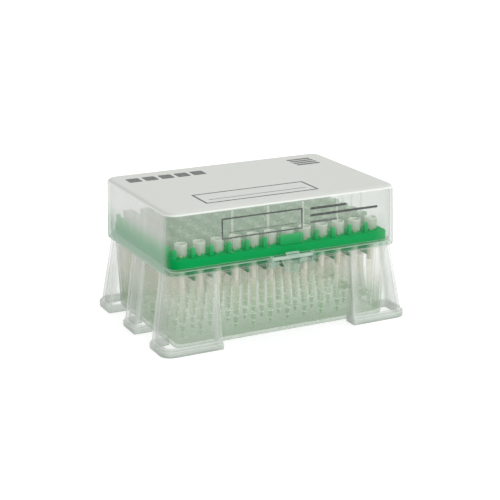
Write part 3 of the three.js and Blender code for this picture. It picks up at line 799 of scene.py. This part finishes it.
def base_tub():
    """Floor, wall and rim in one surface: from the middle of the floor out to the wall, up the
    inside, over the rim, down the outside and back to the middle underneath. The rim is cut
    away in front of the latch and reaches lower between the front legs."""
    straight = RIM_X - RIM_CORNER
    lip = WALL_X - CORNER_LEG_X
    places = stations(straight, 0.95, 21, (LATCH_X, WINDOW, 0.0006), (0, lip, 0.006))
    path = plan_path(places, np.linspace(-0.9, 0.9, 9), 8)
    floor, wall, rim = FLOOR_MIDDLE, np.array((WALL_X, WALL_Y)), (RIM_X, RIM_Y)
    inner, low, under = wall - WALL, np.subtract(wall_half(FLOOR_TOP), WALL), wall_half(FLOOR_LOW)
    # The last column marks thickness and paints highlight lines along the rim and the floor's edge.
    table = [  # half sizes and what they gain, radius, z, share of the rim and of the lip, mark
        (floor, 0, 1.5, FLOOR_TOP, 0, 0, 0),
        (low, -1.2, 2.0, FLOOR_TOP, 0, 0, 0.1),
        (low, -0.35, 2.6, FLOOR_TOP + 0.3, 0, 0, 0.5),
        (low, 0, 2.8, FLOOR_TOP + 1.2, 0, 0, 0.1),
        (inner, -0.35, 2.8, 24, 0, 0, 0),
        (inner, -0.05, 2.8, BASE_TOP - 1, 0, 0, 0),
        (inner, 0, 2.8, BASE_TOP - 0.3, 0, 0, 0.2),
        (inner, 0.25, 3.0, BASE_TOP, 0, 0, 0.3),
        (rim, -0.4, RIM_CORNER - 0.4, BASE_TOP, 1, 0, 0.3),
        (rim, -0.1, RIM_CORNER - 0.1, BASE_TOP - 0.12, 1, 0, 0.9),
        (rim, 0, RIM_CORNER, BASE_TOP - 0.45, 1, 0, 0),
        (rim, 0, RIM_CORNER, RIM_LOW + 0.5, 1, 1, 0),
        (rim, -0.12, RIM_CORNER - 0.1, RIM_LOW + 0.12, 1, 1, 0.5),
        (rim, -0.4, RIM_CORNER - 0.4, RIM_LOW, 1, 1, 0.4),
        (wall, 0.25, 4.2, RIM_LOW, 0, 1, 0.3),
        (wall, -0.02, 4.0, RIM_LOW - 0.3, 0, 1, 0.3),
        (wall_half(RIM_LOW - 0.8), 0, 4.0, RIM_LOW - 0.8, 0, 1, 0),
        (wall_half(24), 0, 4.0, 24, 0, 0, 0),
        (wall_half(FLOOR_LOW + 1), 0, 4.0, FLOOR_LOW + 1, 0, 0, 0.1),
        (under, -0.1, 3.9, FLOOR_LOW + 0.3, 0, 0, 0.8),
        (under, -0.5, 3.5, FLOOR_LOW, 0, 0, 1),
        (under, -1.6, 2.6, FLOOR_LOW, 0, 0, 0.2),
        (floor, 0, 1.5, FLOOR_LOW, 0, 0, 0),
    ]
    half_x, half_y = np.array([np.add(half, gain) for half, gain, *_ in table]).T
    radius, z, of_rim, of_lip, marks = np.array([row[2:] for row in table]).T
    rings = carried(path, half_x, half_y, radius, z)
    on_front = (path[1][:, 1] < -0.99) & (np.abs(path[0][:, 1] + 1) < 1e-6)
    x = path[0][:, 0] * straight
    window_here = on_front & (np.abs(x - LATCH_X) < WINDOW)
    lip_here = on_front & (np.abs(x) < lip)
    rings[:, :, 1] += (OVERHANG[1] - 0.02) * np.outer(of_rim, window_here)
    rings[:, :, 2] -= LIP * np.outer(of_lip, lip_here)
    mould = Moulding()
    mould.tube(rings, (0, 0, FLOOR_TOP), (0, 0, FLOOR_LOW), marks)
    return mould


def leg_section():
    """Heights, ledge shares, insets and marks of thickness and painted highlight of a leg's wall:
    down the outside, over the stepped foot, under its edge and up the inside. Then x and y of the
    leg's face there: it flares evenly from the top to the foot, with the ledge added and the inset
    taken off."""
    outside = [
        (LEG_TOP, 0, 0, 0.3), (LEG_TOP - 0.4, 0, 0, 0.1), (LEG_TOP - 0.9, 0, 0, 0),
        (15, 0, 0, 0), (6, 0, 0, 0), (FOOT_TOP + 0.35, 0, 0, 0.1), (FOOT_TOP + 0.05, 0.08, 0, 0.7),
        (FOOT_TOP - 0.25, 0.42, 0, 0.3), (FOOT_TOP - 0.6, 0.55, 0, 0.1),
        (FOOT_EDGE + 0.35, 0.85, 0, 0), (FOOT_EDGE + 0.05, 0.97, 0, 0.55),
        (FOOT_EDGE - 0.3, 1, 0, 0.2), (0.35, 1, 0, 0), (0.08, 0.95, 0, 0.5), (0, 0.82, 0, 0.5),
    ]
    inside = [
        (0, 0, LEG_WALL - 0.15, 0.5), (0.2, 0, LEG_WALL, 0.2), (2, 0, LEG_WALL, 0),
        (6, 0, LEG_WALL, 0), (15, 0, LEG_WALL, 0), (26, 0, LEG_WALL, 0),
        (LEG_TOP - 1, 0, LEG_WALL - 0.1, 0), (LEG_TOP - 0.3, 0, 0.5, 0.2),
    ]
    z, ledge, inset, marks = np.array(outside + inside, float).T
    share = np.clip((LEG_TOP - z) / (LEG_TOP - FOOT_TOP), 0, 1)[:, None]
    out = LEG_TOP_OUT + (LEG_FOOT_OUT - LEG_TOP_OUT) * share + LEDGE * ledge[:, None]
    face_x, face_y = (out - inset[:, None] + (WALL_X, WALL_Y)).T
    return z, ledge, inset, marks, face_x, face_y


def corner_lanes():
    """Plan of a corner leg as a list of x and y, each an array over the section's heights: out
    of the base, round an edge, along the front, round the corner, along the end and back in."""
    z, ledge, inset, _, face_x, face_y = leg_section()
    radius = np.maximum(LEG_RADIUS + LEDGE[0] * ledge - inset, 0.5)
    start_x, start_y = WALL_X - CORNER_LEG_X + inset, WALL_Y - CORNER_LEG_Y + inset
    wall_x, wall_y = wall_half(np.minimum(z, RIM_LOW))
    edge = np.where(inset > 0, 0.25, 0.6)
    return [
        (start_x, wall_y - LEG_ROOT), (start_x, (wall_y + face_y) / 2),
        *((start_x + edge * c, face_y - edge * s) for s, c in EDGE_TURN),
        *((start_x + edge + (face_x - radius - start_x - edge) * share, face_y)
          for share in (0.2, 0.4, 0.6, 0.8)),
        *((face_x - radius + radius * math.cos(a), face_y - radius + radius * math.sin(a))
          for a in np.linspace(QUARTER, 0, 9)),
        (face_x, (face_y - radius + start_y + edge) / 2),
        *((face_x - edge * s, start_y + edge * c) for s, c in EDGE_TURN[::-1]),
        ((face_x + wall_x) / 2, start_y), (wall_x - LEG_ROOT, start_y),
    ]


def middle_lanes():
    """Plan of a middle leg, as a corner leg's: out of the base's end, along its face and in."""
    z, _, inset, _, face_x, _ = leg_section()
    half = MIDDLE_LEG / 2 - inset
    wall_x, _ = wall_half(np.minimum(z, RIM_LOW))
    edge = np.where(inset > 0, 0.25, 0.6)
    lanes = []
    for side in (-1, 1):
        part = [
            (wall_x - LEG_ROOT, side * half), ((wall_x + face_x) / 2, side * half),
            *((face_x - edge * s, side * (half - edge * c)) for s, c in EDGE_TURN),
            (face_x, side * half * 0.5),
        ]
        lanes += part if side < 0 else part[::-1]
    return lanes


def base_legs():
    """The six legs. A leg is a surface with its plan as one way and its section's loop, down
    outside and up inside, as the other. Each end of the plan is closed with one face."""
    z, marks = leg_section()[0], leg_section()[3]
    kinds = (corner_lanes(), (-1, 1)), (middle_lanes(), (1,))
    mould = Moulding()
    for sign_x in (-1, 1):
        for lanes, signs_y in kinds:
            leg = np.stack([np.stack((x + 0 * z, y + 0 * z, z), -1) for x, y in lanes])
            thick_and_highlight = np.tile(marks, (len(leg), 1))
            # The round upright edges get at least this mark: more plastic and a painted highlight
            # line.
            thick_and_highlight[EDGE_LANES] = np.maximum(thick_and_highlight[EDGE_LANES], 0.55)
            for sign_y in signs_y:
                mould.solid(leg * (sign_x, sign_y, 1), thick_and_highlight)
    return mould


def base_fittings():
    """The hinges' ears and pins, the latch's cheeks with their sockets, and its bracket."""
    mould = Moulding()
    hinge_y, hinge_z = HINGE
    ear = np.vstack((
        arc(HINGE, KNUCKLE, np.linspace(-QUARTER, QUARTER, 13)),
        [(hinge_y - 0.4, BASE_TOP - 0.15), (RIM_Y - 1.1, BASE_TOP - 0.1),
         (RIM_Y - 1.1, RIM_LOW + 0.05), (hinge_y - 1.2, hinge_z - KNUCKLE)],
    ))
    for hinge in (-HINGE_X, HINGE_X):
        for side in (-1, 1):
            near, far = sorted((hinge + side * EAR_NEAR, hinge + side * EAR_FAR))
            add_slab(mould, ear, near, far, 0, 0.2, 0.1, 0.8, 0.3)
        add_rod(mould, HINGE, PIN, hinge - EAR_NEAR - 0.7, hinge + EAR_NEAR + 0.7, 0.1, 0.4)
    socket = LATCH_BAR + SOCKET_GAP + SOCKET_WALL
    front, top = LATCH_Y - socket, LATCH_Z + socket
    root, step = -WALL_Y + 0.4, -LID_Y - 0.35
    cheek = rounded(
        [(front, BASE_TOP - 3.9), (root, BASE_TOP - 4.6), (root, BASE_TOP - 0.1),
         (step, BASE_TOP - 0.1), (step, top), (front, top)],
        [0.9, 0.1, 0.1, 0.1, 0.5, 0.9], 4,
    )
    for side in (-1, 1):
        near, far = sorted((LATCH_X + side * CHEEK_NEAR, LATCH_X + side * CHEEK_FAR))
        add_slab(mould, cheek, near, far, 0, 0.22, 0.1, 0.8, 0.3)
    for low, high in ((-BRACKET_FAR, -BRACKET_NEAR), (BRACKET_NEAR, BRACKET_FAR)):
        for out, low_z, high_z, radius, thick_and_highlight, edge in (
            (0.9, -1.2, 0.3, 0.35, 0.3, 1.0), (0.2, -2.2, -1.3, 0.3, 0.2, 0.7),
        ):
            add_bar(mould, (LATCH_X + low, -RIM_Y - out, RIM_LOW + low_z),
                    (LATCH_X + high, -WALL_Y + 0.2, RIM_LOW + high_z), radius, 0, thick_and_highlight, edge)
    return mould


tub = base_tub().piece("base_tub", base_plastic, "box", "base_plastic", ["base"])
legs = base_legs().piece("base_legs", leg_plastic, "box", "base_plastic")
fittings = base_fittings().piece(
    "base_hinge_ears_and_latch_cheeks", latch_plastic, "box", "base_plastic"
)
let_light_through(tub)
let_light_through(legs, fittings, shadow=True)


# ---- lid ----
LID_CORNER = 5.5
LID_DRAFT = 0.5
LID_EDGE = 2.2
LID_RIB = 0.4  # half width of the ribs inside the wall
RIB_OUT, RIB_SUNK = 0.6, 0.3  # how far they stand out of the wall, and reach into it
SEAT_STEP = 0.8
KNUCKLE_HALF = 3.5
MOUTH = 0.8  # half width of a knuckle's open side
PRINT, SINK = 0.04, 0.02  # the print's thickness, and how deep it starts in the wall
LID_FACE = LID_TOP - PRINT  # the top is lowered by the print


def lid_rows():
    """Section of the lid as inset from the skirt's face, height, whether it belongs to the
    skirt, and mark of thickness and painted highlight: out over the round edge, down the drafted
    wall and the skirt, up inside it, round the seat's ledge and up the inside to the ceiling."""
    edge = np.linspace(0, QUARTER, 8)
    seat = WALL + SEAT_STEP
    # The mark on the round top edge paints a thin highlight line along it.
    rows = [
        (LID_DRAFT + LID_EDGE * (1 - math.sin(a)), LID_FACE - LID_EDGE * (1 - math.cos(a)), 0, mark)
        for a, mark in zip(edge, (0, 0, 0, 0, 0.2, 1.0, 0.3, 0))
    ]
    rows += [
        (LID_DRAFT - 0.05, LID_FACE - 5, 0, 0), (0.2, 50, 0, 0), (0.01, LID_LOW + 0.5, 0, 0),
        (0, LID_LOW, 0, 0), (0, SKIRT_LOW + 0.4, 1, 0), (0.1, SKIRT_LOW + 0.08, 1, 0.5),
        (0.35, SKIRT_LOW, 1, 0.4), (WALL - 0.3, SKIRT_LOW, 1, 0.3),
        (WALL - 0.05, SKIRT_LOW + 0.1, 1, 0.3), (WALL, LID_LOW - 0.3, 1, 0),
        (WALL + 0.1, LID_LOW, 0, 0.1), (seat - 0.2, LID_LOW, 0, 0.1),
        (seat, LID_LOW + 0.15, 0, 0.1), (seat, LID_LOW + 0.6, 0, 0.2),
        (seat - 0.2, LID_LOW + 0.8, 0, 0.4), (WALL + 0.12, LID_LOW + 0.8, 0, 0.3),
        (WALL, LID_LOW + 1.05, 0, 0), (WALL + 0.2, 50, 0, 0),
    ]
    inner_edge = LID_EDGE - WALL
    for a in edge[::-1][:7:2]:
        inset = LID_DRAFT + WALL + inner_edge * (1 - math.sin(a))
        rows.append((inset, LID_FACE - LID_EDGE + inner_edge * math.cos(a), 0, 0.1))
    rows.append((LID_DRAFT + LID_EDGE + 0.1, LID_FACE - WALL, 0, 0))
    return np.array(rows, float).T


def lid_shell():
    """The lid's wall and top in one surface: its section carried round the plan, with three
    shrinking rings to the middle of the top and of the ceiling. The seat's ledge stands further
    in at the ends. The skirt is cut away at the latch and at the hinges."""
    inset, z, skirt, marks = lid_rows()
    ledge = np.clip((inset - WALL) / SEAT_STEP, 0, 1) * (np.abs(z - LID_LOW - 0.4) < 0.41)
    half_x, half_y = LID_X - inset - 0.55 * ledge, LID_Y - inset
    radius = np.maximum(LID_CORNER - np.where(inset > LID_DRAFT, inset - LID_DRAFT, 0), 0.8)
    shrink = np.array((0.35, 0.7, 0.92))
    columns = [
        np.concatenate((size[0] * shrink, size, size[-1] * shrink[::-1]))
        for size in (half_x, half_y, radius)
    ]
    straight = LID_X - LID_CORNER
    gaps = ((LATCH_X, WINDOW), (-HINGE_X, EAR_NOTCH), (HINGE_X, EAR_NOTCH))
    places = stations(straight, 0.94, 17, *((*gap, 0.0006) for gap in gaps))
    path = plan_path(places, np.linspace(-0.9, 0.9, 9), 10)
    x, across = path[0][:, 0] * straight, path[1][:, 1]
    on_side = np.abs(path[0][:, 0]) < 1
    notched = on_side & (across < 0) & (np.abs(x - LATCH_X) < WINDOW)
    notched |= on_side & (across > 0) & (np.abs(np.abs(x) - HINGE_X) < EAR_NOTCH)
    rings = carried(path, *columns, np.pad(z, 3, "edge"))
    cut = (np.pad(skirt, 3) > 0)[:, None] & notched
    rings[:, :, 2] = np.where(cut, LID_LOW, rings[:, :, 2])
    mould = Moulding()
    mould.tube(rings, (0, 0, LID_FACE), (0, 0, LID_FACE - WALL), np.pad(marks, 3))
    return mould


def knuckle():
    """Outline of a hinge knuckle in y and z: round the outside and along its arm to the lid's
    wall, back under it to the open mouth, and round the bore."""
    y, arm_z = HINGE[0], LID_LOW + SEAT_GAP
    outer_mouth, bore_mouth = math.asin(MOUTH / KNUCKLE), math.asin(MOUTH / PIN_BORE)
    outer = np.linspace(-QUARTER + outer_mouth, math.pi * 0.72, 22)
    under = np.linspace(math.pi * 0.85, 3 * QUARTER - outer_mouth, 8)
    bore = np.linspace(3 * QUARTER - bore_mouth, -QUARTER + bore_mouth, 28)
    root = LID_Y - 0.6
    arm = [(y + 0.5, arm_z + 2.0), (root, arm_z + 4.0), (root, arm_z), (y - 1.9, arm_z)]
    return np.vstack((
        arc(HINGE, KNUCKLE, outer[outer < math.pi * 0.42]), arm,
        arc(HINGE, KNUCKLE, under), arc(HINGE, PIN_BORE, bore),
    ))


def lid_details():
    """Upright ribs inside the walls, and the two open hinge knuckles on their arms."""
    mould = Moulding()
    low_z, high_z = PLATE_TOP + 0.8, LID_TOP - WALL - 1.5
    inner = np.array((LID_X, LID_Y)) - WALL - LID_DRAFT
    for side in (-1, 1):
        for across, places in ((1, (-1.5, -0.5, 0.5, 1.5)), (0, (-0.5, 0, 0.5))):
            ends = sorted(side * (inner[across] + np.array((-RIB_OUT, RIB_SUNK))))
            for place in places:
                sides = place * 2 * PITCH - LID_RIB, place * 2 * PITCH + LID_RIB
                low, high = zip(sides, ends) if across else zip(ends, sides)
                add_bar(mould, (*low, low_z), (*high, high_z), 0.25, 2, 0.1, 0.35)
    for hinge in (-HINGE_X, HINGE_X):
        add_slab(mould, knuckle(), hinge - KNUCKLE_HALF, hinge + KNUCKLE_HALF, 0, 0.12, 0.3, 0.8)
    return mould


def lid_print():
    """Generic print: lines, frames and squares as thin slabs on the top and on the front wall,
    where a slab follows the wall's draft."""
    mould = Moulding()

    def on_top(low_x, low_y, high_x, high_y, radius):
        low, high = (low_x, low_y, LID_FACE - SINK), (high_x, high_y, LID_TOP)
        add_bar(mould, low, high, radius, 2, 1, bevel=0.01)

    def on_front(low_x, low_z, high_x, high_z, radius):
        corners = [(low_x, low_z), (high_x, low_z), (high_x, high_z), (low_x, high_z)]
        rings = slab(rounded(corners, radius, 3), 0, PRINT, 1, 0.01)
        share = (rings[:, :, 2] - LID_LOW) / (LID_TOP - LID_EDGE - LID_LOW)
        rings[:, :, 1] -= LID_Y - LID_DRAFT * share + SINK
        mould.tube(rings, rings[0].mean(0), rings[-1].mean(0), 1)

    def frame_of(place, left, low, right, high, line):
        for bar in (
            (left, low, right, low + line), (left, high - line, right, high),
            (left, low + line, left + line, high - line),
            (right - line, low + line, right, high - line),
        ):
            place(*bar, line / 3)

    frame_of(on_front, -33, 50.6, 8, 60.4, 0.7)
    on_front(-30, 53.4, 5, 53.7, 0.1)
    for index, length in enumerate((19, 36, 14)):
        z = 60.0 - index * 3.2
        on_front(12, z - 1.1, 12 + length, z, 0.3)
    frame_of(on_top, -36, -30, 22, -13, 1.1)
    on_top(-32, -24.5, 18, -23.9, 0.2)
    for index in range(5):
        x = -52 + index * 8.4
        on_top(x, 22, x + 6.6, 29.5, 0.8)
    for index in range(4):
        y = 17 + index * 3.6
        on_top(36, y, 49, y + 2.2, 0.6)
    return mould


shell = lid_shell().piece("lid_shell", lid_plastic, "lid", "lid_plastic", ["lid"])
ribs = lid_details().piece("lid_ribs_and_knuckles", lid_plastic, "lid", "lid_plastic")
printed = lid_print().piece("lid_generic_print", ink, "lid", "lid_plastic")
let_light_through(shell, ribs, printed)


# ---- latch ----
PLATE_BACK = 0.6  # the latch plate's back, behind the bar's axis
PLATE_THICK = 1.0
HOOK_TOP, THUMB_END = 2.4, -7.2  # the two tabs' ends, from the bar's axis
HOOK_HALF, THUMB_HALF = 3.2, 2.8  # their half widths
BORDER, BORDER_OUT = 0.3, 0.2  # half width of a tab's border, and how far it stands out


def latch_plate():
    """The latch: a plate with a narrow hook tab above the bar and a thumb tab below it, a raised
    border on each tab, the cross bar and the nose that hooks over the lid's bead."""
    mould = Moulding()
    origin = np.array((LATCH_X, LATCH_Y + PLATE_BACK, LATCH_Z))
    right_side = [
        (THUMB_HALF, THUMB_END), (5.2, -1.4), (5.2, 0), (HOOK_HALF, 0.7), (HOOK_HALF, HOOK_TOP),
    ]
    left_side = [(-x, z) for x, z in right_side[::-1]]
    corners = np.array([left_side[-1], *right_side, *left_side[:-1]]) + origin[[0, 2]]
    outline = rounded(corners, [1.0, 1.0, 0.7, 0.5, 0.4, 0.9, 0.9, 0.4, 0.5, 0.7], 4)
    add_slab(mould, outline, origin[1] - PLATE_THICK, origin[1], 1, 0.2, 0.0, 0.9, 0.3)

    def bar(low, high, radius, axis, thick_and_highlight, edge):
        add_bar(mould, np.add(low, origin), np.add(high, origin), radius, axis, thick_and_highlight, edge)

    front, sunk = -PLATE_THICK - BORDER_OUT, -PLATE_THICK + 0.1
    for low, high, half, mark in (
        (0.9, HOOK_TOP - 0.1, HOOK_HALF - 0.2, 0.6), (THUMB_END + 0.2, -2.0, THUMB_HALF - 0.1, 0.3),
    ):
        for x in (-half, half):
            bar((x - BORDER, front, low), (x + BORDER, sunk, high), 0.12, 1, mark, mark)
        for z in (low, high - 0.5):
            bar((-half, front, z), (half, sunk, z + 0.5), 0.12, 1, mark, mark)
    for step in range(3):
        z = THUMB_END + 1.0 + step * 1.1
        bar((-1.9, front + 0.02, z), (1.9, sunk, z + 0.45), 0.15, 1, 0.1, 0.25)
    add_rod(mould, (LATCH_Y, LATCH_Z), LATCH_BAR, LATCH_X - 10.5, LATCH_X + 10.5, 0.12, 0.7, 0.9)
    nose = -LID_Y - 0.3 - origin[1]
    bar((-HOOK_HALF, -0.6, HOOK_TOP - 0.7), (HOOK_HALF, nose, HOOK_TOP), 0.15, 0, 0.5, 1.0)
    return mould


latch_plate().piece("latch_rocker", latch_plastic, "latch", "latch_plastic", ["latch"])


# ---- floor, lamps and world ----
WHITE = (1, 1, 1, 1)
WORLD_LIGHT = 0.68
FLOOR_GREY, FLOOR_GLOW = 0.62, 0.55
FLOOR_HALF, FLOOR_DROP = 4, 0.0004  # in metres: half its width, and how far it is under the feet
BOX_MIDDLE = Vector((0, 0, 0.03))


def pale_floor():
    """A pale floor that keeps the object's shadow: diffuse, with some light of its own for the
    rays that show it."""
    look = new_look("pale_floor")
    diffuse = look.node("BsdfDiffuse", None, {"Color": (*[FLOOR_GREY] * 3, 1)})
    sockets = {"Color": WHITE, "Strength": look.shown() * FLOOR_GLOW}
    glow = look.node("Emission", None, sockets)
    both = look.node("AddShader", None, {0: diffuse.outputs[0], 1: glow.outputs[0]})
    look.node("OutputMaterial", None, {0: both.outputs[0]})
    mesh = bpy.data.meshes.new("floor")
    corners = np.array([(-1, -1, 0), (1, -1, 0), (1, 1, 0), (-1, 1, 0)]) * FLOOR_HALF
    mesh.from_pydata(corners.tolist(), [], [(0, 1, 2, 3)])
    mesh.materials.append(look.owner)
    floor = linked("floor", mesh)
    floor.location.z = -FLOOR_DROP


def pale_world():
    """Even pale light from all round, and plain white where the world itself is seen."""
    world = bpy.data.worlds.new("pale_world")
    scene.world = world
    look = Look(world)
    strength = look.shown() * (1 - WORLD_LIGHT) + WORLD_LIGHT
    background = look.node("Background", None, {"Color": WHITE, "Strength": strength})
    look.node("OutputWorld", None, {0: background.outputs[0]})


def lamp(name, place, size, power):
    """A square soft lamp at a place in metres, pointing at the middle of the box."""
    data = bpy.data.lights.new(name, "AREA")
    data.size = size
    data.energy = power
    obj = linked(name, data)
    obj.location = place
    obj.rotation_euler = (BOX_MIDDLE - Vector(place)).to_track_quat("-Z", "Y").to_euler()


pale_floor()
pale_world()
lamp("key_lamp", (-0.45, -1.2, 0.6), 0.7, 5.4)
lamp("fill_lamp", (0.95, -0.8, 0.4), 0.8, 6.5)
lamp("back_lamp", (0.2, 0.9, 0.9), 0.8, 2.5)

scene.view_settings.view_transform = "Standard"
scene.cycles.transparent_max_bounces = 96
scene.cycles.max_bounces = 6
